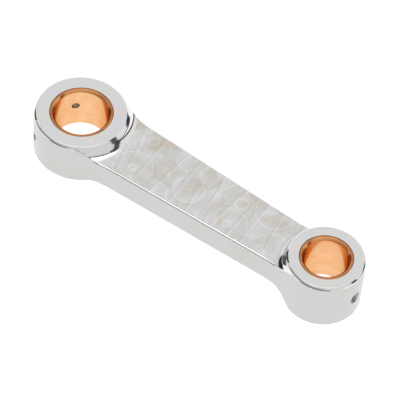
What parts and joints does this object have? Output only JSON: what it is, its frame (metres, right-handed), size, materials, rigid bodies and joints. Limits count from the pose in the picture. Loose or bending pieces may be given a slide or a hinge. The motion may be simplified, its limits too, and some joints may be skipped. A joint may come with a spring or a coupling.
{
  "type": "connecting rod",
  "caption": "Small-engine connecting rod: a machined aluminium rod with a milled flat beam, a round eye at each end and a bronze bush pressed into each eye, with drilled oil holes.",
  "frame": {"origin": "centre of the crank-pin bore, on the rod's mid-plane", "axes": "+X from the crank-pin axis to the wrist-pin axis, +Z along both bores, +Y across the beam"},
  "size_m": [0.0698, 0.0174, 0.0108],
  "materials": {
    "rod_aluminium": "polished sides, milled beam faces, finely turned end faces",
    "bush_bronze": "bright reamed bronze"
  },
  "bodies": {
    "root": {"rod_body": "rod_aluminium", "big_end_bush": "bush_bronze", "small_end_bush": "bush_bronze"}
  },
  "joints": []
}
